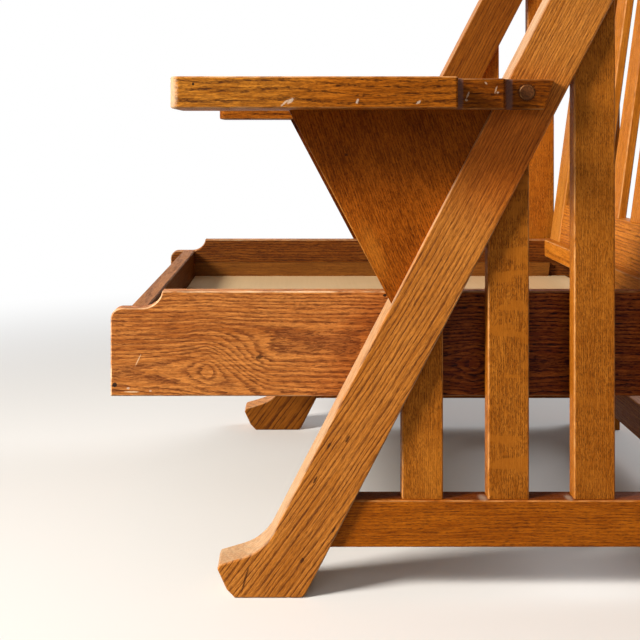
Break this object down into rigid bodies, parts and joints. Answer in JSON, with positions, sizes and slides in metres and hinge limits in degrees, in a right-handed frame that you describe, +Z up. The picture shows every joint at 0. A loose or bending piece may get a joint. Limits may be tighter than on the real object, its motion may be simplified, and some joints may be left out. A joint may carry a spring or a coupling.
{
  "type": "mission lounge chair",
  "caption": "Oak lounge chair with triangular slatted sides, stepped arms on corbels, a boxed seat with a sunk flat deck board and a leaning slatted back.",
  "frame": {"origin": "on the floor, under the middle of the overall width and depth", "axes": "+Z up, the seat faces -Y, +X is the left side of someone sitting in it"},
  "size_m": [0.82, 0.76, 1],
  "materials": {
    "frame_oak": "fumed golden oak, satin varnish, open grain",
    "arm_oak": "fumed golden oak, satin varnish, worn edges",
    "bracket_oak": "darker red-brown oak, satin varnish",
    "hidden_oak": "plain oak, unfinished",
    "plug_oak": "end-grain oak",
    "deck_board": "smooth pale cream board, painted or bare plywood",
    "screw_steel": "dull darkened steel, for the small screws that the dressed model adds"
  },
  "bodies": {
    "root": {"back_bottom_rail": "frame_oak", "back_plugs": "plug_oak", "back_sill": "frame_oak", "back_slat_1": "frame_oak", "back_slat_2": "frame_oak", "back_slat_3": "frame_oak", "back_slat_4": "frame_oak", "back_slat_5": "frame_oak", "back_top_rail": "frame_oak", "deck_bearer": "hidden_oak", "front_ledger": "hidden_oak", "left_arm": "arm_oak", "left_arm_bracket": "bracket_oak", "left_arm_plug": "plug_oak", "left_back_stile": "frame_oak", "left_deck_ledger": "hidden_oak", "left_deck_strip": "frame_oak", "left_head_tenon": "plug_oak", "left_leg": "frame_oak", "left_rear_post": "frame_oak", "left_seat_side_rail": "frame_oak", "left_side_slat_1": "frame_oak", "left_side_slat_2": "frame_oak", "left_side_slat_3": "frame_oak", "left_side_slat_4": "frame_oak", "left_side_stretcher": "frame_oak", "rear_stretcher": "frame_oak", "right_arm": "arm_oak", "right_arm_bracket": "bracket_oak", "right_arm_plug": "plug_oak", "right_back_stile": "frame_oak", "right_deck_ledger": "hidden_oak", "right_deck_strip": "frame_oak", "right_head_tenon": "plug_oak", "right_leg": "frame_oak", "right_rear_post": "frame_oak", "right_seat_side_rail": "frame_oak", "right_side_slat_1": "frame_oak", "right_side_slat_2": "frame_oak", "right_side_slat_3": "frame_oak", "right_side_slat_4": "frame_oak", "right_side_stretcher": "frame_oak", "seat_deck": "deck_board", "seat_front_rail": "frame_oak", "seat_rear_rail": "hidden_oak"}
  },
  "joints": []
}
